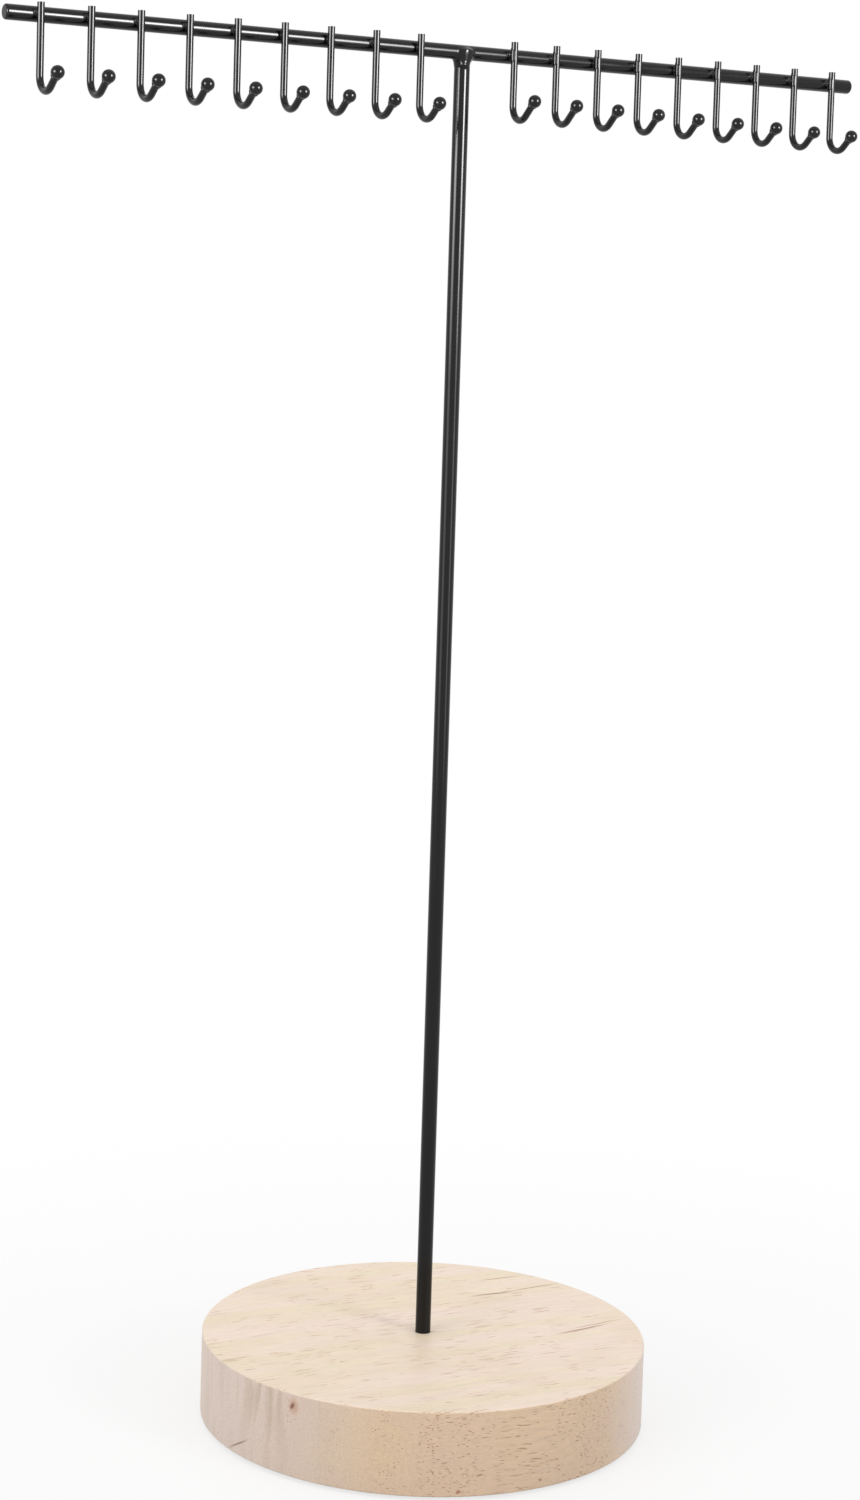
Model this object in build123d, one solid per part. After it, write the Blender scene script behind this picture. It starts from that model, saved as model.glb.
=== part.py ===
from build123d import *
import math
import os

# T-shaped jewelry stand: a round wood base, an upright post and a crossbar with a row of hooks on each side.
# Millimetres, +Z up, origin on the floor under the post. The crossbar runs along X and the hooks point to -Y.

os.makedirs("parts", exist_ok=True)

# Base and its underside
base_diameter = 130.0
base_thickness = 24.0
base_edge_round = 0.5
pad_diameter = 12.0
pad_thickness = 1.0
pad_circle_diameter = 96.0
pad_count = 4
pad_edge_round = 0.25

# Screw-in nut that takes the threaded tail of the post
insert_body_diameter = 6.4
insert_thread_diameter = 8.0
insert_thread_pitch = 2.0
insert_ridge_share = 0.8
insert_length = 13.0
insert_recess = 1.0
insert_socket_flats = 4.8
insert_socket_depth = 3.0
wood_above_insert = 1.0

# Post
post_diameter = 4.5
post_hole_clearance = 0.05
tail_diameter = 4.0
tail_clearance = 0.05
tail_end_gap = 3.5
tail_chamfer = 0.5
saddle_depth = 1.0

# Crossbar
bar_diameter = 4.2
bar_length = 280.4
bar_axis_height = 397.5
bar_end_round = 0.6

# Weld between post and crossbar: hollow fillets, and a drop-shaped bead in front and behind, wide on the
# crossbar and narrow on the post
weld_leg_along_bar = 1.1
weld_leg_down_post = 2.0
weld_proud = 0.3
weld_edge_share = 0.45
weld_bead_diameter = 3.8
weld_bead_drop = 0.3
weld_tip_diameter = 2.4
weld_tip_drop = 2.9
weld_bead_proud = 0.8
weld_tip_proud = 0.6

# Hooks: heights are counted from the crossbar's axis. The rows were bent and welded by hand, so their tops,
# their lowest points and their arms drift a little along each row, and the right row looks a little to the left.
hooks_per_side = 9
first_hook_offset = 15.6
bar_end_margin = 9.0
wire_diameter = 2.0
hook_bend_radius = 4.4
hook_arm_angle = 39.0
left_top_inner = 3.7
left_top_outer = 2.9
right_top_inner = 3.85
right_top_outer = 3.65
left_drop_inner = 21.1
left_drop_outer = 21.3
right_drop_inner = 19.5
right_drop_outer = 21.3
left_arm_inner = 4.8
left_arm_outer = 5.4
right_arm_inner = 6.2
right_arm_outer = 4.8
left_row_turn = 0.0
right_row_turn = 2.2

# Ball tips
ball_diameter = 3.7
ball_bore_depth = 1.5
ball_bore_clearance = 0.02

# Small weld beads at both sides of each hook wire
bead_width = 2.9
bead_height = 2.2
bead_gap_behind_wire = 0.5

base_radius = base_diameter / 2
post_radius = post_diameter / 2
tail_radius = tail_diameter / 2
bar_radius = bar_diameter / 2
wire_radius = wire_diameter / 2
ball_radius = ball_diameter / 2

base_bottom = pad_thickness
base_top = base_bottom + base_thickness
insert_bottom = base_bottom + insert_recess
insert_top = insert_bottom + insert_length
post_seat = insert_top + wood_above_insert
tail_end = insert_bottom + tail_end_gap
bar_underside = bar_axis_height - bar_radius
wire_y = -(bar_radius + wire_radius)
hook_pitch = (bar_length / 2 - bar_end_margin - first_hook_offset) / max(hooks_per_side - 1, 1)


def cylinder(radius, low, high, x=0.0, y=0.0):
    """An upright cylinder between two heights."""
    return Pos(x, y, low) * Cylinder(radius, high - low, align=(Align.CENTER, Align.CENTER, Align.MIN))


def bar_cylinder(length):
    """A cylinder along the crossbar's axis."""
    return Pos(0, 0, bar_axis_height) * Rot(0, 90, 0) * Cylinder(bar_radius, length)


def make_insert():
    """Screw-in nut: a body with a coarse outer thread as ridges, a bore for the tail and a hex socket below."""
    body_radius = insert_body_diameter / 2
    ridge_radius = insert_thread_diameter / 2
    turns = int(insert_length // insert_thread_pitch)
    nut = cylinder(body_radius, insert_bottom, insert_top)
    for turn in range(turns):
        middle = insert_bottom + (turn + 0.5) * insert_length / turns
        half = insert_thread_pitch * insert_ridge_share / 2
        profile = Polyline(
            (0, middle - half), (body_radius, middle - half), (ridge_radius, middle),
            (body_radius, middle + half), (0, middle + half), close=True,
        )
        nut += revolve(Plane.XZ * make_face(profile), Axis.Z)
    nut -= cylinder(tail_radius + tail_clearance, insert_bottom, insert_top)
    socket_radius = insert_socket_flats / 2 / math.cos(math.pi / 6)
    socket = extrude(Pos(0, 0, insert_bottom) * RegularPolygon(socket_radius, 6), insert_socket_depth)
    return nut - socket


def make_base(insert):
    """Turned wood disc with the hole for the post and the pocket for the screw-in nut."""
    disc = cylinder(base_radius, base_bottom, base_top)
    disc = fillet(disc.edges().filter_by(GeomType.CIRCLE), base_edge_round)
    pocket_radius = insert_body_diameter / 2
    disc -= cylinder(pocket_radius, base_bottom, insert_top)
    disc -= insert
    disc -= cylinder(insert_thread_diameter / 2, base_bottom, insert_bottom)
    disc -= cylinder(tail_radius + tail_clearance, insert_top, post_seat)
    disc -= cylinder(post_radius + post_hole_clearance, post_seat, base_top)
    return disc


def make_pads():
    """Thin round pads that the stand rests on."""
    pads = []
    for index in range(pad_count):
        angle = math.radians(360 / pad_count * (index + 0.5))
        x = pad_circle_diameter / 2 * math.cos(angle)
        y = pad_circle_diameter / 2 * math.sin(angle)
        pad = cylinder(pad_diameter / 2, 0, pad_thickness, x, y)
        pads.append(fillet(pad.edges().sort_by(Axis.Z)[:1], min(pad_edge_round, pad_thickness / 2)))
    return Compound(children=pads)


def make_crossbar():
    """Solid round bar with eased ends."""
    bar = bar_cylinder(bar_length)
    return fillet(bar.edges().filter_by(GeomType.CIRCLE), min(bar_end_round, 0.9 * bar_radius))


def make_post():
    """Upright rod: threaded tail below, coped end above that takes the crossbar."""
    post = cylinder(post_radius, post_seat, bar_underside + saddle_depth)
    tail = cylinder(tail_radius, tail_end, post_seat)
    tail = chamfer(tail.edges().sort_by(Axis.Z)[:1], tail_chamfer)
    return post + tail - bar_cylinder(bar_length)


def make_post_weld(post, crossbar):
    """Weld round the coped joint: hollow fillets left and right, and a drop-shaped bead in front and behind."""
    low = bar_underside - weld_leg_down_post
    wide = post_radius + weld_leg_along_bar
    hollow = 1 - math.sqrt(0.5)
    middle = (post_radius + hollow * weld_leg_along_bar, bar_underside - hollow * weld_leg_down_post)
    side = ThreePointArc((post_radius, low), middle, (wide, bar_underside))
    rest = Polyline(
        (wide, bar_underside), (wide, bar_axis_height), (0, bar_axis_height), (0, low), (post_radius, low),
    )
    flare = revolve(Plane.XZ * make_face(side + rest), Axis.Z)
    depth = 2 * (max(post_radius, bar_radius) + weld_proud)
    slab = Box(2 * wide, depth, 2 * max(wide, weld_leg_down_post))
    slab = fillet(slab.edges().filter_by(Axis.X), weld_edge_share * depth)
    weld = flare & (Pos(0, 0, bar_underside) * slab)
    bead_radius = weld_bead_diameter / 2
    tip_radius = weld_tip_diameter / 2
    bead_y = bar_radius + weld_bead_proud - bead_radius
    tip_y = post_radius + weld_tip_proud - tip_radius
    for front in (-1, 1):
        weld += Pos(0, front * bead_y, bar_axis_height - weld_bead_drop) * Sphere(bead_radius)
        weld += Pos(0, front * tip_y, bar_axis_height - weld_tip_drop) * Sphere(tip_radius)
    return weld - crossbar - post


def hook_plane(x, turn):
    """Plane of one hook, seen from its left: first axis forward, second axis up, origin beside the bar's axis."""
    angle = math.radians(turn)
    forward = (-math.sin(angle), -math.cos(angle), 0)
    return Plane(origin=(x, wire_y, bar_axis_height), x_dir=forward, z_dir=(forward[1], -forward[0], 0))


def bend_centre_drop(drop):
    """How far below the bar's axis the bend's centre lies, for a hook whose lowest point is at drop."""
    return drop - hook_bend_radius - wire_radius


def ball_centre(drop, arm_length):
    """Centre of the ball tip in the hook's plane."""
    angle = math.radians(hook_arm_angle)
    forward = hook_bend_radius * (1 + math.sin(angle)) + arm_length * math.cos(angle)
    up = -bend_centre_drop(drop) - hook_bend_radius * math.cos(angle) + arm_length * math.sin(angle)
    return forward, up


def make_hook(x, turn, top, drop, arm_length):
    """Bent wire: a straight shank, a round bend and a short rising arm that ends inside the ball."""
    start = (0, -bend_centre_drop(drop))
    shank = Line((0, top), start)
    bend = JernArc(start, (0, -1), hook_bend_radius, 90 + hook_arm_angle)
    arm = Line(bend @ 1, (bend @ 1) + (bend % 1) * (arm_length - ball_radius + ball_bore_depth))
    path = hook_plane(x, turn) * Wire([shank.edge(), bend.edge(), arm.edge()])
    section = Plane(origin=path @ 0, z_dir=path % 0) * Circle(wire_radius)
    return sweep(section, path=path)


def make_ball(x, turn, drop, arm_length):
    """Ball tip with the blind bore that the wire's end sits in."""
    angle = math.radians(hook_arm_angle)
    plane = hook_plane(x, turn)
    centre = plane.from_local_coords((*ball_centre(drop, arm_length), 0))
    ball = Pos(*centre) * Sphere(ball_radius)
    toward = plane.x_dir * math.cos(angle) + plane.y_dir * math.sin(angle)
    mouth = centre - toward * ball_radius
    bore_length = ball_bore_depth + ball_bore_clearance
    bore = Plane(origin=mouth - toward * wire_radius, z_dir=toward) * Cylinder(
        wire_radius + ball_bore_clearance, bore_length + wire_radius, align=(Align.CENTER, Align.CENTER, Align.MIN)
    )
    return ball - bore


def make_beads(x, hook, crossbar):
    """Two small weld beads, left and right of one hook wire where it lies on the bar."""
    half = bead_height / 2
    edge = ThreePointArc((wire_radius, -half), (bead_width / 2, 0), (wire_radius, half))
    rest = Polyline((wire_radius, half), (0, half), (0, -half), (wire_radius, -half))
    collar = revolve(Plane.XZ * make_face(edge + rest), Axis.Z)
    collar = Pos(x, wire_y, bar_axis_height) * collar
    beads = []
    for side in (-1, 1):
        middle = x + side * (bead_gap_behind_wire / 2 + bead_width / 2)
        keep = Pos(middle, wire_y + bead_width / 2, bar_axis_height) * Box(bead_width, bead_width, 2 * bead_height)
        beads += (collar & keep - crossbar - hook).solids()
    return beads


def hook_stations():
    """Each hook's place along the bar, its turn, top, lowest point and arm's length, from left to right."""
    left_inner = (left_top_inner, left_drop_inner, left_arm_inner)
    left_outer = (left_top_outer, left_drop_outer, left_arm_outer)
    right_inner = (right_top_inner, right_drop_inner, right_arm_inner)
    right_outer = (right_top_outer, right_drop_outer, right_arm_outer)
    rows = ((-1, left_row_turn, left_inner, left_outer), (1, right_row_turn, right_inner, right_outer))
    stations = []
    for side, turn, inner, outer in rows:
        for step in range(hooks_per_side):
            share = step / max(hooks_per_side - 1, 1)
            x = side * (first_hook_offset + step * hook_pitch)
            top, drop, arm_length = (near + share * (far - near) for near, far in zip(inner, outer))
            stations.append((x, turn, top, drop, arm_length))
    return sorted(stations)


def save(shape, node):
    export_step(shape, f"parts/{node}.step")
    print(node, len(shape.solids()), "solids", round(shape.volume, 3), "mm3")


insert = make_insert()
crossbar = make_crossbar()
post = make_post()
save(make_base(insert), "base")
save(make_pads(), "anti_slip_pads")
save(insert, "threaded_insert")
save(post, "post")
save(crossbar, "crossbar")
save(make_post_weld(post, crossbar), "post_weld")

beads = []
for number, (x, turn, top, drop, arm_length) in enumerate(hook_stations(), start=1):
    hook = make_hook(x, turn, top, drop, arm_length)
    save(hook, f"hook_{number:02d}")
    save(make_ball(x, turn, drop, arm_length), f"hook_ball_{number:02d}")
    beads += make_beads(x, hook, crossbar)
save(Compound(children=beads), "hook_welds")
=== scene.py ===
import math

import bmesh
import bpy
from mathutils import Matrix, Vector


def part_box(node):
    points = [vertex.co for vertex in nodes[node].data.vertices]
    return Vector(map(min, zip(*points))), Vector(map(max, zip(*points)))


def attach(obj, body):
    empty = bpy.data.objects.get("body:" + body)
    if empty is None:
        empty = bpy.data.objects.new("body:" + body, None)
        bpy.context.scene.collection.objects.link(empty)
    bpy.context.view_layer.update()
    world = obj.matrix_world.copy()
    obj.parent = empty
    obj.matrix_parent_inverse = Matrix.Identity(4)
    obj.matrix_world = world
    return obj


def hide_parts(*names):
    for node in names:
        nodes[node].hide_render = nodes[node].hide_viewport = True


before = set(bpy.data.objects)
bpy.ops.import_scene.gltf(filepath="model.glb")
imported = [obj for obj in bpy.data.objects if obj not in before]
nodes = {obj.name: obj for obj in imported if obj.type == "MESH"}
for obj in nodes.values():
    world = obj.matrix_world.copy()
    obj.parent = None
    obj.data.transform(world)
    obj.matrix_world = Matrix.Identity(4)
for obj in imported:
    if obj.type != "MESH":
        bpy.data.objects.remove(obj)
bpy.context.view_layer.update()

scene = bpy.context.scene
scene.view_settings.view_transform = "Standard"
mm = 0.001
print("frame loaded:", len(nodes), "nodes")


# small helpers

def toLinear(hexColour):
    parts = [int(hexColour[i:i + 2], 16) / 255 for i in (1, 3, 5)]
    return tuple(c / 12.92 if c <= 0.04045 else ((c + 0.055) / 1.055) ** 2.4 for c in parts) + (1.0,)


def addNode(tree, kind, inputs=(), **settings):
    # inputs go by place or by name, and each is a value or another node's output
    node = tree.nodes.new(kind)
    for key, value in settings.items():
        setattr(node, key, value)
    for key, value in inputs.items() if isinstance(inputs, dict) else enumerate(inputs):
        if isinstance(value, bpy.types.NodeSocket):
            tree.links.new(value, node.inputs[key])
        else:
            node.inputs[key].default_value = value
    return node


def newMaterial(name):
    material = bpy.data.materials.new(name)
    material.use_nodes = True
    tree = material.node_tree
    tree.nodes.clear()
    shader = addNode(tree, "ShaderNodeBsdfPrincipled")
    addNode(tree, "ShaderNodeOutputMaterial", {"Surface": shader.outputs[0]})
    return material, tree, shader


def millimetres(tree, turn=0.0):
    # object coordinates in millimetres, turned about the upright axis
    place = addNode(tree, "ShaderNodeTexCoord").outputs["Object"]
    inputs = {"Vector": place, "Rotation": (0, 0, math.radians(turn)), "Scale": (1 / mm, 1 / mm, 1 / mm)}
    return addNode(tree, "ShaderNodeMapping", inputs).outputs[0]


def cloudy(tree, place, sizes, detail=2.0):
    # smooth random patches, as long each way as sizes says in millimetres
    steps = addNode(tree, "ShaderNodeVectorMath", (place, sizes), operation="DIVIDE").outputs[0]
    return addNode(tree, "ShaderNodeTexNoise", {"Vector": steps, "Scale": 1.0, "Detail": detail}).outputs[0]


def celled(tree, place, sizes):
    # random cells, as long each way as sizes says in millimetres
    steps = addNode(tree, "ShaderNodeVectorMath", (place, sizes), operation="DIVIDE").outputs[0]
    return addNode(tree, "ShaderNodeTexVoronoi", {"Vector": steps, "Scale": 1.0}).outputs


def wobbled(tree, place, seed, grain, amount):
    # the place pushed about by a smooth random field
    moved = addNode(tree, "ShaderNodeVectorMath", (place, (seed, 0, 0)), operation="ADD").outputs[0]
    inputs = {"Vector": moved, "Scale": 1 / grain, "Detail": 1.0}
    field = addNode(tree, "ShaderNodeTexNoise", inputs).outputs["Color"]
    centred = addNode(tree, "ShaderNodeVectorMath", (field, (0.5, 0.5, 0.5)), operation="SUBTRACT").outputs[0]
    inputs = {0: centred, "Scale": amount}
    push = addNode(tree, "ShaderNodeVectorMath", inputs, operation="SCALE").outputs[0]
    return addNode(tree, "ShaderNodeVectorMath", (place, push), operation="ADD").outputs[0]


def wear(node, material):
    mesh = nodes[node].data
    mesh.materials.clear()
    mesh.materials.append(material)


def middle(node):
    low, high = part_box(node)
    return (low + high) / 2


def size(node):
    low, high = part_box(node)
    return high - low


# camera at the photograph's angle

photoCamera = {
    "place": (-0.43839, -0.70467, 0.31348),
    "turn": (85.0, -1.64, -30.241),
    "lens": 69.31,
    "sensor": 36,
    "shift": (0.04, -0.10),
    "nearest": 0.01,
}


def makeCamera(setup):
    lens = bpy.data.cameras.new("photoCamera")
    lens.lens = setup["lens"]
    lens.sensor_width = setup["sensor"]
    lens.shift_x, lens.shift_y = setup["shift"]
    lens.clip_start = setup["nearest"]
    camera = bpy.data.objects.new("photoCamera", lens)
    camera.location = setup["place"]
    camera.rotation_euler = [math.radians(a) for a in setup["turn"]]
    scene.collection.objects.link(camera)
    scene.camera = camera


makeCamera(photoCamera)


# floor, world and two tall soft boxes beside the stand. The boxes fade out towards their edges and glow in
# their upper half, so the gloss on the rods is bright at the top and dies away down the post.

studio = {
    "floorRadius": 3.0,
    "floorSides": 96,
    "floorSeen": 0.97,       # how white the floor looks
    "floorBounce": 0.40,     # how much it throws back at the object
    "whiteFrom": 0.08,       # the floor turns to plain white between these distances from the middle
    "whiteAt": 0.36,
    "whiteNear": 0.72,       # share of plain white right under the object, which keeps its shadow light
    "horizon": 0.30,
    "overhead": 0.96,
    "fromLeft": 0.16,        # the room is this much brighter on its left side
}
softBoxShape = {"distance": 1.0, "spread": 60.0, "low": 0.05, "high": 0.95}
softBoxes = {
    "rightSoftBox": {
        "azimuth": 22.3, "width": 0.54, "power": 11.8, "fadeLeft": 0.18, "fadeRight": 0.24,
        "rise": (0.29, 0.54), "fall": (0.95, 0.76), "spill": 0.05,
    },
    "leftSoftBox": {
        "azimuth": -78, "width": 0.85, "power": 8.8, "fadeLeft": 0.20, "fadeRight": 0.20,
        "rise": (0.27, 0.56), "fall": (0.95, 0.76), "spill": 0.08,
    },
}
white = (1, 1, 1, 1)


def seenOrMirrored(tree):
    path = addNode(tree, "ShaderNodeLightPath").outputs
    total = addNode(tree, "ShaderNodeMath", (path["Is Camera Ray"], path["Is Glossy Ray"]), operation="ADD")
    inputs = (total.outputs[0], path["Is Transmission Ray"])
    return addNode(tree, "ShaderNodeMath", inputs, operation="ADD", use_clamp=True).outputs[0]


def makeFloor(setup):
    mesh = bpy.data.meshes.new("floor")
    shape = bmesh.new()
    sides, radius = setup["floorSides"], setup["floorRadius"]
    bmesh.ops.create_circle(shape, cap_ends=True, segments=sides, radius=radius)
    shape.to_mesh(mesh)
    shape.free()
    floor = bpy.data.objects.new("floor", mesh)
    scene.collection.objects.link(floor)
    material = bpy.data.materials.new("paleFloor")
    material.use_nodes = True
    tree = material.node_tree
    tree.nodes.clear()
    seen = seenOrMirrored(tree)
    inputs = (seen, 0, 1, setup["floorBounce"], setup["floorSeen"])
    level = addNode(tree, "ShaderNodeMapRange", inputs).outputs[0]
    paint = addNode(tree, "ShaderNodeBsdfDiffuse", {"Color": level}).outputs[0]
    glow = addNode(tree, "ShaderNodeEmission", {"Color": white, "Strength": 1.0}).outputs[0]
    place = addNode(tree, "ShaderNodeTexCoord").outputs["Object"]
    away = addNode(tree, "ShaderNodeVectorMath", (place,), operation="LENGTH").outputs["Value"]
    inputs = (away, setup["whiteFrom"], setup["whiteAt"], setup["whiteNear"], 1.0)
    fade = addNode(tree, "ShaderNodeMapRange", inputs, interpolation_type="SMOOTHSTEP").outputs[0]
    share = addNode(tree, "ShaderNodeMath", (fade, seen), operation="MULTIPLY").outputs[0]
    both = addNode(tree, "ShaderNodeMixShader", (share, paint, glow)).outputs[0]
    addNode(tree, "ShaderNodeOutputMaterial", {"Surface": both})
    mesh.materials.append(material)


def makeWorld(setup):
    world = bpy.data.worlds.new("studioWorld")
    scene.world = world
    world.use_nodes = True
    tree = world.node_tree
    tree.nodes.clear()
    direction = addNode(tree, "ShaderNodeTexCoord").outputs["Generated"]
    aside, _, up = addNode(tree, "ShaderNodeSeparateXYZ", (direction,)).outputs
    sky = addNode(tree, "ShaderNodeMapRange", (up, 0, 1, setup["horizon"], setup["overhead"])).outputs[0]
    extra = addNode(tree, "ShaderNodeMapRange", (aside, 0, -1, 0, setup["fromLeft"])).outputs[0]
    level = addNode(tree, "ShaderNodeMath", (sky, extra), operation="ADD").outputs[0]
    room = addNode(tree, "ShaderNodeBackground", {"Color": white, "Strength": level}).outputs[0]
    backdrop = addNode(tree, "ShaderNodeBackground", {"Color": white, "Strength": 1.0}).outputs[0]
    both = addNode(tree, "ShaderNodeMixShader", (seenOrMirrored(tree), room, backdrop)).outputs[0]
    addNode(tree, "ShaderNodeOutputWorld", {"Surface": both})


def makeSoftBox(name, shape, setup):
    low, high, distance = shape["low"], shape["high"], shape["distance"]
    lamp = bpy.data.lights.new(name, "AREA")
    lamp.shape = "RECTANGLE"
    lamp.size, lamp.size_y = setup["width"], high - low
    lamp.energy = setup["power"]
    lamp.spread = math.radians(shape["spread"])
    lamp.use_nodes = True
    tree = lamp.node_tree
    tree.nodes.clear()
    place = addNode(tree, "ShaderNodeNewGeometry").outputs["Parametric"]
    across, up, _ = addNode(tree, "ShaderNodeSeparateXYZ", (place,)).outputs
    fromLeft = addNode(tree, "ShaderNodeMath", (across, setup["width"]), operation="MULTIPLY").outputs[0]
    height = addNode(tree, "ShaderNodeMath", (up, high - low, low), operation="MULTIPLY_ADD").outputs[0]
    fades = (
        (fromLeft, 0, setup["fadeLeft"]),
        (fromLeft, setup["width"], setup["width"] - setup["fadeRight"]),
        (height, *setup["rise"], setup["spill"]),
        (height, *setup["fall"]),
    )
    level = 1.0
    for inputs in fades:
        fade = addNode(tree, "ShaderNodeMapRange", inputs, interpolation_type="SMOOTHSTEP").outputs[0]
        level = addNode(tree, "ShaderNodeMath", (fade, level), operation="MULTIPLY").outputs[0]
    glow = addNode(tree, "ShaderNodeEmission", {"Color": white, "Strength": level}).outputs[0]
    addNode(tree, "ShaderNodeOutputLight", (glow,))
    box = bpy.data.objects.new(name, lamp)
    angle = math.radians(setup["azimuth"])
    box.location = (distance * math.sin(angle), -distance * math.cos(angle), (low + high) / 2)
    box.rotation_euler = (math.radians(90), 0, angle)
    scene.collection.objects.link(box)


makeFloor(studio)
makeWorld(studio)
for boxName, boxSetup in softBoxes.items():
    makeSoftBox(boxName, softBoxShape, boxSetup)
print("camera and studio made")


# black enamel on the post, the crossbar and the welds: baked gloss lacquer on steel, glassy with a faint
# orange peel that makes the edges of its highlights waver

enamel = {
    "colour": "#0A0A0A",
    "ior": 1.34,
    "roughness": (0.104, 0.169),
    "hazeSize": 9.0,         # some patches are a little duller than others
    "hazeLimits": (0.3, 0.7),
    "peelSize": 4.0,
    "peelHeight": 0.001,
}

# the same lacquer on the hooks, thinner over the drawn wire and a little glassier

hookFinish = {**enamel, "colour": "#080808", "ior": 1.36, "peelSize": 2.5, "peelHeight": 0.0008}


def makeEnamel(name, setup):
    material, tree, shader = newMaterial(name)
    place = millimetres(tree)
    peel = cloudy(tree, place, (setup["peelSize"],) * 3)
    inputs = {"Height": peel, "Strength": 1.0, "Distance": setup["peelHeight"] * mm}
    bump = addNode(tree, "ShaderNodeBump", inputs).outputs[0]
    cloud = cloudy(tree, place, (setup["hazeSize"],) * 3, detail=3.0)
    haze = addNode(tree, "ShaderNodeMapRange", (cloud, *setup["hazeLimits"], *setup["roughness"])).outputs[0]
    shader.inputs["Base Color"].default_value = toLinear(setup["colour"])
    shader.inputs["IOR"].default_value = setup["ior"]
    tree.links.new(haze, shader.inputs["Roughness"])
    tree.links.new(bump, shader.inputs["Normal"])
    return material


blackEnamel = makeEnamel("blackEnamel", enamel)
hookLacquer = makeEnamel("hookLacquer", hookFinish)


# rubberwood: pale cream wood sanded under a matt clear coat, with soft straw and blush bands along the grain.
# The pores are long thin tubes along the grain, so they show as dashes on the faces and as dots on the end
# grain. They are drawn about half as wide again as real ones, which would be too fine to see at this size.
# Sizes are in millimetres along, across and above the grain. Places are in millimetres on the stand, for the
# pores turned with the grain.

wood = {
    "grainTurn": 6.0,            # degrees from the crossbar's direction
    "bend": (0.0, 45.0, 4.0),    # seed, length over which the grain wanders, and four times how far it goes
    "waver": (50.0, 4.0, 1.1),
    "topLimits": (0.3, 0.8),     # how upright a face has to look to count as the top
    "endLimits": (0.62, 0.9),    # and how far along the grain to count as end grain
    "straw": "#F4E2C6",
    "blush": "#F9E4D3",
    "bandSize": (120.0, 10.0, 30.0),
    "bandLimits": (0.38, 0.62),
    "shade": "#F0DBBF",
    "cloudSize": (34.0, 15.0, 15.0),
    "shadeLimits": (0.45, 0.75),
    "shadeShare": 0.8,
    "sideTan": "#EFD2B0",
    "sideBlush": "#EBCDB3",
    "sideLimits": (0.35, 0.65),
    # painted sheen: the side turns paler towards its left and right ends, in place of the bright room
    # glancing off where the side turns away
    "sidePaintedSheen": "#F4E0D3",
    "paintedSheenLeft": (-44.0, -65.0),
    "paintedSheenRight": (22.0, 44.0),
    "ring": "#CDB799",
    "ringSize": (60.0, 3.0, 26.0),
    "ringLimits": (0.44, 0.62),
    "ringMiddle": (-62.4, -18.2, 20.0),    # where the growth rings show best on the end grain
    "ringReach": (14.0, 2.0),
    "ringShares": (0.16, 0.5),
    "fibreSize": (11.0, 0.5, 0.5),
    "fibreLimits": (0.3, 0.7),
    "fibreTones": (0.92, 1.06),
    "fibreRelief": 0.25,         # share of the relief that the pores have
    "relief": 0.07,
    "roughness": (0.46, 0.56),
    "coat": 0.3,                 # the clear coat only shows as a paler edge where the side turns away
    "coatRoughness": 0.4,
}
topPores = {
    "cell": (13.0, 0.8, 0.8), "radius": 0.34, "clump": (40.0, 9.0, 9.0), "limits": (0.34, 0.56),
    "middle": (-14.0, -16.0, 25.0), "reach": (70.0, 25.0), "shares": (0.5, 1.0),
    "colour": "#B57F43", "strength": 0.76,
}
sidePores = {
    "cell": (9.5, 0.52, 0.52), "radius": 0.36, "clump": (9.0, 2.4, 2.4), "limits": (0.32, 0.52),
    "middle": (0.0, -65.0, 11.0), "reach": (44.0, 24.0), "shares": (0.08, 1.0),
    "colour": "#A1662F", "strength": 0.84,
}
woodMarks = {                    # place, half sizes, turn in degrees and colour of each mark
    "backStreak": ((37.2, 19.7, 25.0), (9.5, 0.7, 3.0), (0, 0, -7), "#9A6A3C"),
    "backStreakTail": ((52.0, 19.6, 25.0), (13.0, 0.55, 3.0), (0, 0, 0), "#B98D5F"),
    "frontStreak": ((44.0, -18.9, 25.0), (12.5, 0.8, 3.0), (0, 0, 3), "#AA7E50"),
    "frontStreakTail": ((50.0, -16.9, 25.0), (12.0, 0.5, 3.0), (0, 0, 2), "#BE9468"),
    "rimStreak": ((47.0, 31.5, 25.0), (10.0, 0.55, 3.0), (0, 0, -5), "#B98D5F"),
    "knotHalo": ((-58.6, -27.9, 21.4), (2.4, 2.4, 3.2), (0, 0, 0), "#DDB399"),
    "knot": ((-58.9, -27.5, 21.4), (0.8, 0.8, 1.7), (25, 0, 0), "#7A452B"),
    "split": ((-64.6, -7.0, 4.4), (7.2, 0.8, 0.4), (0, -29.5, -83.8), "#9A7A5A"),
    "speckLeft": ((-24.5, -60.2, 2.6), (0.9, 0.9, 0.7), (0, 0, 0), "#B06F45"),
    "speckMiddle": ((-0.9, -65.0, 3.5), (0.8, 0.8, 0.6), (0, 0, 0), "#B06F45"),
}
markEdge = {"fade": (1.0, 0.25), "strength": 0.85, "wobble": (90.0, 3.0, 0.6)}
poreEdge = {"core": 0.4, "darkness": (0.5, 1.0)}


def nearTo(tree, place, setup):
    # the second share close to the middle, the first one beyond its reach
    inputs = (place, setup["middle"])
    away = addNode(tree, "ShaderNodeVectorMath", inputs, operation="DISTANCE").outputs["Value"]
    inputs = (away, *setup["reach"], *setup["shares"])
    return addNode(tree, "ShaderNodeMapRange", inputs, interpolation_type="SMOOTHSTEP").outputs[0]


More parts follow.
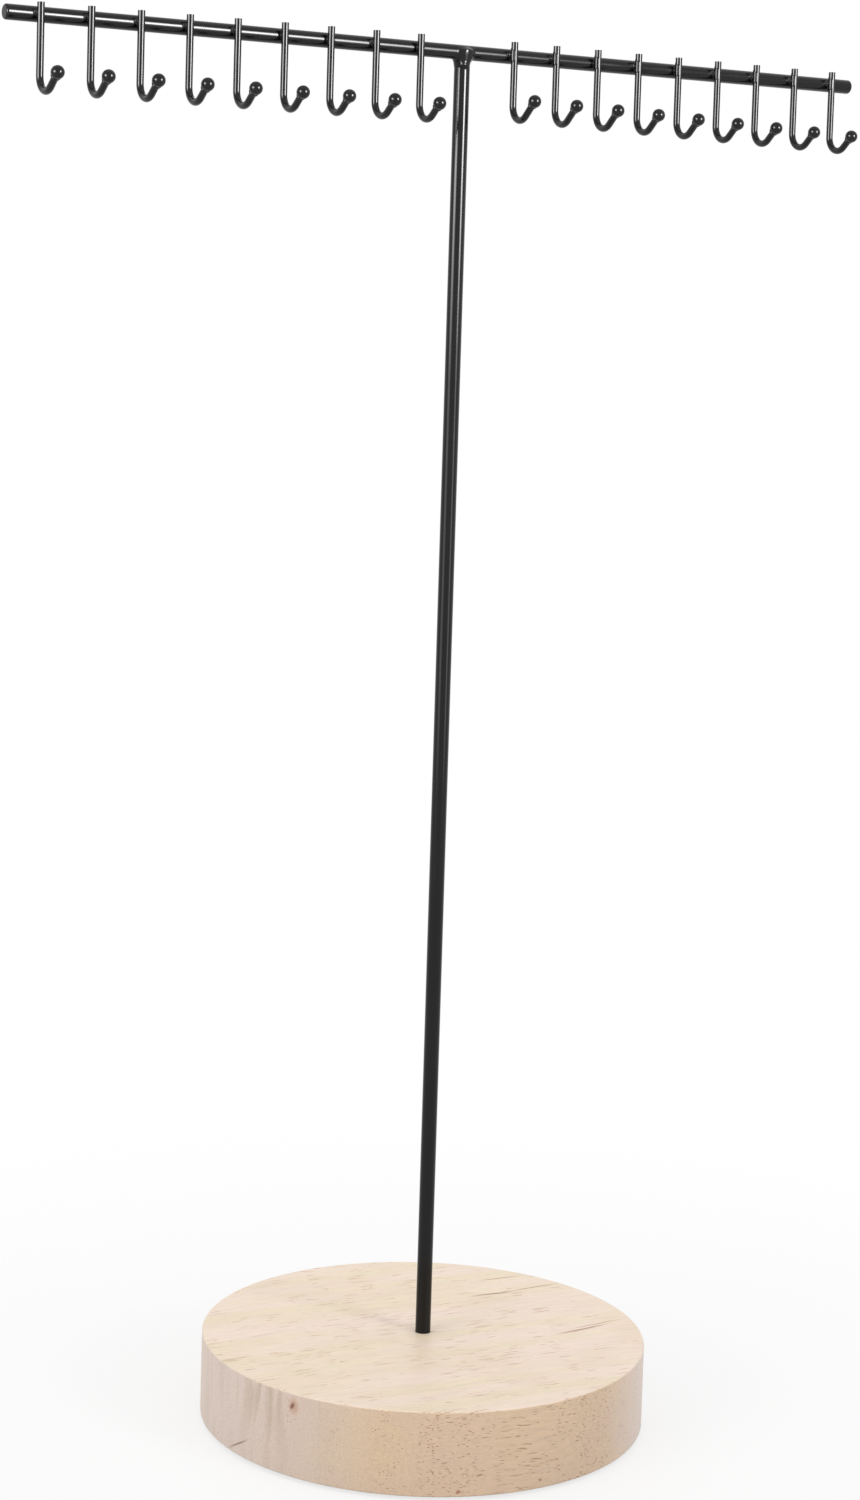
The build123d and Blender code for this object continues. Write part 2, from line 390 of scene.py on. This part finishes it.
def pores(tree, place, setup):
    # dark in the middle of each cell's tube; which cells have one depends on a cloud and on the place
    cells = celled(tree, place, setup["cell"])
    inputs = (cells["Distance"], setup["radius"], setup["radius"] * poreEdge["core"])
    tube = addNode(tree, "ShaderNodeMapRange", inputs, interpolation_type="SMOOTHSTEP").outputs[0]
    chance, depth, _ = addNode(tree, "ShaderNodeSeparateColor", (cells["Color"],)).outputs
    cloud = cloudy(tree, place, setup["clump"])
    clump = addNode(tree, "ShaderNodeMapRange", (cloud, *setup["limits"])).outputs[0]
    inputs = (clump, nearTo(tree, place, setup))
    share = addNode(tree, "ShaderNodeMath", inputs, operation="MULTIPLY").outputs[0]
    kept = addNode(tree, "ShaderNodeMath", (chance, share), operation="LESS_THAN").outputs[0]
    dark = addNode(tree, "ShaderNodeMapRange", (depth, 0, 1, *poreEdge["darkness"])).outputs[0]
    strength = addNode(tree, "ShaderNodeMath", (dark, setup["strength"]), operation="MULTIPLY").outputs[0]
    shown = addNode(tree, "ShaderNodeMath", (tube, kept), operation="MULTIPLY").outputs[0]
    return addNode(tree, "ShaderNodeMath", (shown, strength), operation="MULTIPLY").outputs[0]


def markMask(tree, place, at, half, turn):
    inputs = {"Vector": place, "Location": at, "Rotation": [math.radians(a) for a in turn], "Scale": half}
    inMark = addNode(tree, "ShaderNodeMapping", inputs, vector_type="TEXTURE").outputs[0]
    away = addNode(tree, "ShaderNodeVectorMath", (inMark,), operation="LENGTH").outputs["Value"]
    inputs = (away, *markEdge["fade"], 0.0, markEdge["strength"])
    return addNode(tree, "ShaderNodeMapRange", inputs, interpolation_type="SMOOTHSTEP").outputs[0]


def woodFaces(tree, setup):
    # how much a face is the top or the underside, and how much it is end grain
    facing = addNode(tree, "ShaderNodeTexCoord").outputs["Normal"]
    upright = addNode(tree, "ShaderNodeSeparateXYZ", (facing,)).outputs["Z"]
    upright = addNode(tree, "ShaderNodeMath", (upright,), operation="ABSOLUTE").outputs[0]
    inputs = (upright, *setup["topLimits"])
    flat = addNode(tree, "ShaderNodeMapRange", inputs, interpolation_type="SMOOTHSTEP").outputs[0]
    angle = math.radians(setup["grainTurn"])
    grain = (math.cos(angle), -math.sin(angle), 0)
    along = addNode(tree, "ShaderNodeVectorMath", (facing, grain), operation="DOT_PRODUCT").outputs["Value"]
    along = addNode(tree, "ShaderNodeMath", (along,), operation="ABSOLUTE").outputs[0]
    inputs = (along, *setup["endLimits"])
    return flat, addNode(tree, "ShaderNodeMapRange", inputs, interpolation_type="SMOOTHSTEP").outputs[0]


def topColour(tree, place, cloud, setup):
    band = cloudy(tree, place, setup["bandSize"])
    share = addNode(tree, "ShaderNodeMapRange", (band, *setup["bandLimits"])).outputs[0]
    inputs = {0: share, 6: toLinear(setup["straw"]), 7: toLinear(setup["blush"])}
    top = addNode(tree, "ShaderNodeMix", inputs, data_type="RGBA").outputs[2]
    inputs = (cloud, *setup["shadeLimits"], 0, setup["shadeShare"])
    share = addNode(tree, "ShaderNodeMapRange", inputs).outputs[0]
    inputs = {0: share, 6: top, 7: toLinear(setup["shade"])}
    return addNode(tree, "ShaderNodeMix", inputs, data_type="RGBA").outputs[2]


def sideColour(tree, plain, place, cloud, endGrain, setup):
    share = addNode(tree, "ShaderNodeMapRange", (cloud, *setup["sideLimits"])).outputs[0]
    inputs = {0: share, 6: toLinear(setup["sideTan"]), 7: toLinear(setup["sideBlush"])}
    side = addNode(tree, "ShaderNodeMix", inputs, data_type="RGBA").outputs[2]
    # painted sheen: a paler colour ramped in along x towards the left and right ends of the side, standing in
    # for light glancing off them
    toRight = addNode(tree, "ShaderNodeSeparateXYZ", (plain,)).outputs[0]
    paintedSheens = [addNode(tree, "ShaderNodeMapRange", (toRight, *setup[key])).outputs[0]
              for key in ("paintedSheenLeft", "paintedSheenRight")]
    paintedSheen = addNode(tree, "ShaderNodeMath", paintedSheens, operation="MAXIMUM").outputs[0]
    inputs = {0: paintedSheen, 6: side, 7: toLinear(setup["sidePaintedSheen"])}
    side = addNode(tree, "ShaderNodeMix", inputs, data_type="RGBA").outputs[2]
    rings = cloudy(tree, place, setup["ringSize"], detail=1.5)
    inputs = (rings, *setup["ringLimits"])
    rings = addNode(tree, "ShaderNodeMapRange", inputs, interpolation_type="SMOOTHSTEP").outputs[0]
    patch = {"middle": setup["ringMiddle"], "reach": setup["ringReach"], "shares": setup["ringShares"]}
    ringed = addNode(tree, "ShaderNodeMath", (rings, endGrain), operation="MULTIPLY").outputs[0]
    inputs = (ringed, nearTo(tree, plain, patch))
    share = addNode(tree, "ShaderNodeMath", inputs, operation="MULTIPLY").outputs[0]
    inputs = {0: share, 6: side, 7: toLinear(setup["ring"])}
    return addNode(tree, "ShaderNodeMix", inputs, data_type="RGBA").outputs[2]


def makeRubberwood(setup):
    material, tree, shader = newMaterial("rubberwood")
    plain = millimetres(tree)
    place = wobbled(tree, millimetres(tree, setup["grainTurn"]), *setup["bend"])
    place = wobbled(tree, place, *setup["waver"])
    flat, endGrain = woodFaces(tree, setup)
    upright = addNode(tree, "ShaderNodeMath", (1.0, flat), operation="SUBTRACT").outputs[0]
    cloud = cloudy(tree, place, setup["cloudSize"])
    fibre = cloudy(tree, place, setup["fibreSize"], detail=3.0)

    side = sideColour(tree, plain, place, cloud, endGrain, setup)
    inputs = {0: flat, 6: side, 7: topColour(tree, place, cloud, setup)}
    colour = addNode(tree, "ShaderNodeMix", inputs, data_type="RGBA").outputs[2]
    inputs = (fibre, *setup["fibreLimits"], *setup["fibreTones"])
    tone = addNode(tree, "ShaderNodeMapRange", inputs).outputs[0]
    inputs = {0: 1.0, 6: colour, 7: tone}
    colour = addNode(tree, "ShaderNodeMix", inputs, data_type="RGBA", blend_type="MULTIPLY").outputs[2]
    hollows = []
    for kind, face in ((topPores, flat), (sidePores, upright)):
        inputs = (pores(tree, place, kind), face)
        hollow = addNode(tree, "ShaderNodeMath", inputs, operation="MULTIPLY").outputs[0]
        inputs = {0: hollow, 6: colour, 7: toLinear(kind["colour"])}
        colour = addNode(tree, "ShaderNodeMix", inputs, data_type="RGBA").outputs[2]
        hollows.append(hollow)
    rough = wobbled(tree, plain, *markEdge["wobble"])
    for at, half, turn, markColour in woodMarks.values():
        inputs = {0: markMask(tree, rough, at, half, turn), 6: colour, 7: toLinear(markColour)}
        colour = addNode(tree, "ShaderNodeMix", inputs, data_type="RGBA").outputs[2]
    tree.links.new(colour, shader.inputs["Base Color"])

    hollow = addNode(tree, "ShaderNodeMath", hollows, operation="ADD").outputs[0]
    raised = addNode(tree, "ShaderNodeMath", (fibre, setup["fibreRelief"]), operation="MULTIPLY").outputs[0]
    height = addNode(tree, "ShaderNodeMath", (hollow, -1.0, raised), operation="MULTIPLY_ADD").outputs[0]
    inputs = {"Height": height, "Strength": 1.0, "Distance": setup["relief"] * mm}
    bump = addNode(tree, "ShaderNodeBump", inputs).outputs[0]
    tree.links.new(bump, shader.inputs["Normal"])
    dull = addNode(tree, "ShaderNodeMapRange", (fibre, *setup["fibreLimits"], *setup["roughness"])).outputs[0]
    tree.links.new(dull, shader.inputs["Roughness"])
    shader.inputs["Coat Weight"].default_value = setup["coat"]
    shader.inputs["Coat Roughness"].default_value = setup["coatRoughness"]
    return material


rubberwood = makeRubberwood(wood)


# zinc-plated nut in the base, with a fine spangle that breaks up its shine

zinc = {"colour": "#B9B8B2", "roughness": (0.24, 0.42), "grainSize": 0.6}


def makeZinc(setup):
    material, tree, shader = newMaterial("zincPlate")
    spangle = celled(tree, millimetres(tree), (setup["grainSize"],) * 3)["Distance"]
    dull = addNode(tree, "ShaderNodeMapRange", (spangle, 0, 1, *setup["roughness"])).outputs[0]
    shader.inputs["Base Color"].default_value = toLinear(setup["colour"])
    shader.inputs["Metallic"].default_value = 1.0
    tree.links.new(dull, shader.inputs["Roughness"])
    return material


# pads of closed-cell foam rubber under the base, dull and finely pitted

foam = {"colour": "#1B1B1C", "speck": "#2C2C2D", "cellSize": 0.5, "pitDepth": 0.1, "roughness": 0.85}


def makeFoam(setup):
    material, tree, shader = newMaterial("padFoam")
    cells = celled(tree, millimetres(tree), (setup["cellSize"],) * 3)["Distance"]
    inputs = {0: cells, 6: toLinear(setup["colour"]), 7: toLinear(setup["speck"])}
    tone = addNode(tree, "ShaderNodeMix", inputs, data_type="RGBA").outputs[2]
    tree.links.new(tone, shader.inputs["Base Color"])
    bump = addNode(tree, "ShaderNodeBump", {"Height": cells, "Distance": setup["pitDepth"] * mm}).outputs[0]
    tree.links.new(bump, shader.inputs["Normal"])
    shader.inputs["Roughness"].default_value = setup["roughness"]
    return material


wear("base", rubberwood)
wear("threaded_insert", makeZinc(zinc))
wear("anti_slip_pads", makeFoam(foam))
for name in ("post", "crossbar", "post_weld", "hook_welds"):
    wear(name, blackEnamel)
hookNames = sorted(name for name in nodes if name.startswith("hook_") and name[5:].isdigit())
ballNames = sorted(name for name in nodes if name.startswith("hook_ball_"))
for name in hookNames + ballNames:
    wear(name, hookLacquer)
print("materials made")


# geometry trees: sizes go in by name, in millimetres, and one plain mesh in metres comes out

def newTree(name, sizes):
    tree = bpy.data.node_groups.new(name, "GeometryNodeTree")
    tree.interface.new_socket("Geometry", in_out="INPUT", socket_type="NodeSocketGeometry")
    for key in sizes:
        tree.interface.new_socket(key, in_out="INPUT", socket_type="NodeSocketFloat")
    tree.interface.new_socket("Geometry", in_out="OUTPUT", socket_type="NodeSocketGeometry")
    return tree, addNode(tree, "NodeGroupInput").outputs


def finishTree(tree, geometry, material):
    whole = addNode(tree, "GeometryNodeRealizeInstances", {"Geometry": geometry}).outputs[0]
    scaled = addNode(tree, "GeometryNodeTransform", {"Geometry": whole, "Scale": (mm, mm, mm)}).outputs[0]
    smooth = addNode(tree, "GeometryNodeSetShadeSmooth", {"Geometry": scaled}).outputs[0]
    painted = addNode(tree, "GeometryNodeSetMaterial", {"Geometry": smooth, "Material": material}).outputs[0]
    addNode(tree, "NodeGroupOutput", (painted,))


def growPiece(name, tree, sizes, points=()):
    # the points, in millimetres, are what the tree's instances stand on
    mesh = bpy.data.meshes.new(name)
    mesh.from_pydata([tuple(p) for p in points], [], [])
    piece = bpy.data.objects.new(name, mesh)
    scene.collection.objects.link(piece)
    modifier = piece.modifiers.new(name, "NODES")
    modifier.node_group = tree
    for socket in tree.interface.items_tree:
        if socket.in_out == "INPUT" and socket.name in sizes:
            modifier[socket.identifier] = float(sizes[socket.name])
    bpy.context.view_layer.update()
    made = piece.evaluated_get(bpy.context.evaluated_depsgraph_get())
    plain = bpy.data.meshes.new_from_object(made)
    piece.modifiers.clear()
    piece.data = plain
    plain.name = name
    print(name, "has", len(plain.polygons), "faces")
    return piece


def rodDistance(tree, first, second, radius):
    # distance outside a round rod, from the two coordinates across it
    across = addNode(tree, "ShaderNodeCombineXYZ", (first, second)).outputs[0]
    length = addNode(tree, "ShaderNodeVectorMath", (across,), operation="LENGTH").outputs["Value"]
    return addNode(tree, "ShaderNodeMath", (length, radius), operation="SUBTRACT").outputs[0]


def ballDistance(tree, place, centre, radius):
    away = addNode(tree, "ShaderNodeVectorMath", (place, centre), operation="DISTANCE").outputs["Value"]
    return addNode(tree, "ShaderNodeMath", (away, radius), operation="SUBTRACT").outputs[0]


def skin(tree, distance, low, high, voxel):
    # the surface where the distance is nothing
    inside = addNode(tree, "ShaderNodeMath", (distance, -1.0), operation="MULTIPLY").outputs[0]
    inputs = {"Density": inside, "Background": -1.0, "Min": low, "Max": high}
    for axis, start, end in zip("XYZ", low, high):
        inputs["Resolution " + axis] = int((end - start) / voxel)
    cloud = addNode(tree, "GeometryNodeVolumeCube", inputs).outputs[0]
    return addNode(tree, "GeometryNodeVolumeToMesh", {"Volume": cloud, "Threshold": 0.0}).outputs[0]


barRadius = size("crossbar").z / 2 / mm
barHeight = middle("crossbar").z / mm
postRadius = size("post").x / 2 / mm
wireRadius = size("hook_01").x / 2 / mm


# weld between post and crossbar: fused steel with hollow fillets at the sides and a lumpy drop in front and
# behind, under the same enamel, so it only shows by its highlights

postWeld = {
    "sink": 0.06,            # the weld starts this far inside the rods, so that it runs out on them
    "fillet": 3.1,
    "postShare": 1.2,        # the fillet runs this much further down the post than along the crossbar
    "tear": ((0.35, -0.75, 1.55), (-0.5, -3.3, 0.7)),    # the drop's outline: wide above, narrow below
    "tearBlend": 3.4,
    "face": 3.0,
    "faceProud": 0.62,
    "faceLean": 0.15,        # the face leans back towards its foot, so only the drop's upper rim shines
    "rim": 1.1,
    "dropBlend": 2.0,
    "toeRadius": 0.95,
    "toeProud": 0.42,
    "toeBelow": 3.6,
    "toeSide": -0.55,
    "toeBlend": 0.6,
    "lump": 0.12,
    "lumpSize": 2.0,
    "lumpSeed": 0.0,
    "voxel": 0.11,
    "reach": (4.4, 4.0, 6.8),
    "headroom": 0.5,
}


def postWeldDrop(tree, y, lumpy, front, setup):
    # a round face cut to a teardrop, on one side of the rods only
    lumpX, lumpY, lumpZ = addNode(tree, "ShaderNodeSeparateXYZ", (lumpy,)).outputs
    rounds = []
    for toRight, upward, radius in setup["tear"]:
        aside = addNode(tree, "ShaderNodeMath", (lumpX, toRight), operation="SUBTRACT").outputs[0]
        above = addNode(tree, "ShaderNodeMath", (lumpZ, upward), operation="SUBTRACT").outputs[0]
        rounds.append(rodDistance(tree, aside, above, radius))
    inputs = (*rounds, setup["tearBlend"])
    outline = addNode(tree, "ShaderNodeMath", inputs, operation="SMOOTH_MIN").outputs[0]
    inputs = (lumpZ, -front * setup["faceLean"], lumpY)
    leaning = addNode(tree, "ShaderNodeMath", inputs, operation="MULTIPLY_ADD").outputs[0]
    inputs = (leaning, front * (barRadius + setup["faceProud"] - setup["face"]))
    behind = addNode(tree, "ShaderNodeMath", inputs, operation="SUBTRACT").outputs[0]
    face = rodDistance(tree, lumpX, behind, setup["face"])
    drop = addNode(tree, "ShaderNodeMath", (face, outline, setup["rim"]), operation="SMOOTH_MAX").outputs[0]
    beyond = addNode(tree, "ShaderNodeMath", (y, -front), operation="MULTIPLY").outputs[0]
    return addNode(tree, "ShaderNodeMath", (drop, beyond), operation="MAXIMUM").outputs[0]


def makePostWeld(setup):
    sizes = {"Bar radius": barRadius, "Post radius": postRadius}
    tree, given = newTree("postWeldTree", sizes)
    place = addNode(tree, "GeometryNodeInputPosition").outputs[0]
    lumpy = wobbled(tree, place, setup["lumpSeed"], setup["lumpSize"], setup["lump"])
    x, y, z = addNode(tree, "ShaderNodeSeparateXYZ", (place,)).outputs
    sunkBar, sunkPost = (
        addNode(tree, "ShaderNodeMath", (given[key], setup["sink"]), operation="SUBTRACT").outputs[0]
        for key in sizes
    )
    bar = rodDistance(tree, y, z, sunkBar)
    post = rodDistance(tree, x, y, sunkPost)
    post = addNode(tree, "ShaderNodeMath", (post, z), operation="MAXIMUM").outputs[0]
    slowPost = addNode(tree, "ShaderNodeMath", (post, setup["postShare"]), operation="MULTIPLY").outputs[0]
    inputs = (bar, slowPost, setup["fillet"])
    distance = addNode(tree, "ShaderNodeMath", inputs, operation="SMOOTH_MIN").outputs[0]
    for front in (-1, 1):
        drop = postWeldDrop(tree, y, lumpy, front, setup)
        toeY = front * (postRadius + setup["toeProud"] - setup["toeRadius"])
        toe = ballDistance(tree, lumpy, (setup["toeSide"], toeY, -setup["toeBelow"]), setup["toeRadius"])
        for part, blend in ((drop, setup["dropBlend"]), (toe, setup["toeBlend"])):
            inputs = (distance, part, blend)
            distance = addNode(tree, "ShaderNodeMath", inputs, operation="SMOOTH_MIN").outputs[0]
    reachX, reachY, reachDown = setup["reach"]
    low = (-reachX, -reachY, -reachDown)
    high = (reachX, reachY, barRadius + setup["headroom"])
    finishTree(tree, skin(tree, distance, low, high, setup["voxel"]), blackEnamel)
    piece = growPiece("post_weld_bead", tree, sizes)
    for vertex in piece.data.vertices:
        vertex.co.z += barHeight * mm
    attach(piece, "root")
    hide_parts("post_weld")


makePostWeld(postWeld)


# small welds that hold the hook wires to the front of the crossbar: a low collar of fused metal in the corner
# between wire and bar, in three shapes, with a stray blob beside some of them

hookWeld = {
    "sink": 0.05,
    "fillet": 1.2,
    "reach": 2.4,
    "margin": 0.4,
    "blobs": ((0.45, -1.35, 0.0), (0.52, -1.2, 10.0), (0.0, 0.0, 20.0)),    # radius, side and seed
    "blobProud": 0.15,
    "blobAbove": 0.25,
    "blobBlend": 0.6,
    "lump": 0.2,
    "lumpSize": 1.4,
    "voxel": 0.15,
    "seed": 7,
}


def makeHookWelds(setup):
    sizes = {"Bar radius": barRadius, "Wire radius": wireRadius}
    tree, given = newTree("hookWeldTree", sizes)
    place = addNode(tree, "GeometryNodeInputPosition").outputs[0]
    x, y, z = addNode(tree, "ShaderNodeSeparateXYZ", (place,)).outputs
    sunkBar, sunkWire = (
        addNode(tree, "ShaderNodeMath", (given[key], setup["sink"]), operation="SUBTRACT").outputs[0]
        for key in sizes
    )
    inFront = addNode(tree, "ShaderNodeMath", (y, -(barRadius + wireRadius)), operation="SUBTRACT").outputs[0]
    inputs = (rodDistance(tree, y, z, sunkBar), rodDistance(tree, x, inFront, sunkWire), setup["fillet"])
    corner = addNode(tree, "ShaderNodeMath", inputs, operation="SMOOTH_MIN").outputs[0]
    reach = setup["reach"] + setup["margin"]
    low = (-reach, -barRadius - reach, -reach)
    high = (reach, -barRadius + reach, reach)
    shapes = addNode(tree, "GeometryNodeGeometryToInstance")
    for blobRadius, blobSide, seed in setup["blobs"]:
        distance = corner
        lumpy = wobbled(tree, place, seed, setup["lumpSize"], setup["lump"])
        if blobRadius:
            centre = (blobSide, -barRadius - setup["blobProud"], setup["blobAbove"])
            inputs = (distance, ballDistance(tree, lumpy, centre, blobRadius), setup["blobBlend"])
            distance = addNode(tree, "ShaderNodeMath", inputs, operation="SMOOTH_MIN").outputs[0]
        heart = ballDistance(tree, lumpy, (0, -barRadius, 0), setup["reach"])
        distance = addNode(tree, "ShaderNodeMath", (distance, heart), operation="MAXIMUM").outputs[0]
        tree.links.new(skin(tree, distance, low, high, setup["voxel"]), shapes.inputs[0])
    inputs = {4: 0, 5: len(setup["blobs"]) - 1, "Seed": setup["seed"]}
    pick = addNode(tree, "FunctionNodeRandomValue", inputs, data_type="INT").outputs[2]
    inputs = {"Points": given["Geometry"], "Instance": shapes.outputs[0], "Pick Instance": True,
              "Instance Index": pick}
    finishTree(tree, addNode(tree, "GeometryNodeInstanceOnPoints", inputs).outputs[0], blackEnamel)
    points = [(middle(name).x / mm, 0, barHeight) for name in hookNames]
    piece = growPiece("hook_weld_collars", tree, sizes, points)
    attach(piece, "root")
    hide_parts("hook_welds")


makeHookWelds(hookWeld)


# neck rings: the solder and lacquer that gather where each wire enters its ball

neckRing = {
    "armAngle": 39.0,
    "radius": 1.0,
    "thickness": 0.34,
    "fromCentre": 1.62,
    "around": 24,
    "section": 8,
    "scales": (0.94, 1.06),
    "seed": 3,
}


def makeNeckRings(setup):
    sizes = {"Ring radius": setup["radius"], "Ring thickness": setup["thickness"]}
    tree, given = newTree("neckRingTree", sizes)
    loop, section = (
        addNode(tree, "GeometryNodeCurvePrimitiveCircle", {"Resolution": setup[count], "Radius": given[key]})
        for count, key in zip(("around", "section"), sizes)
    )
    inputs = {"Curve": loop.outputs[0], "Profile Curve": section.outputs[0]}
    ring = addNode(tree, "GeometryNodeCurveToMesh", inputs).outputs[0]
    angle = math.radians(setup["armAngle"])
    tilt = addNode(tree, "FunctionNodeEulerToRotation", {"Euler": (math.pi / 2 - angle, 0, 0)}).outputs[0]
    least, most = setup["scales"]
    spread = addNode(tree, "FunctionNodeRandomValue", {2: least, 3: most, "Seed": setup["seed"]}).outputs[1]
    inputs = {"Points": given["Geometry"], "Instance": ring, "Rotation": tilt, "Scale": spread}
    finishTree(tree, addNode(tree, "GeometryNodeInstanceOnPoints", inputs).outputs[0], hookLacquer)
    back = Vector((0, math.cos(angle), -math.sin(angle))) * setup["fromCentre"]
    points = [middle(name) / mm + back for name in ballNames]
    piece = growPiece("hook_neck_rings", tree, sizes, points)
    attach(piece, "root")


makeNeckRings(neckRing)
print("welds and rings made")
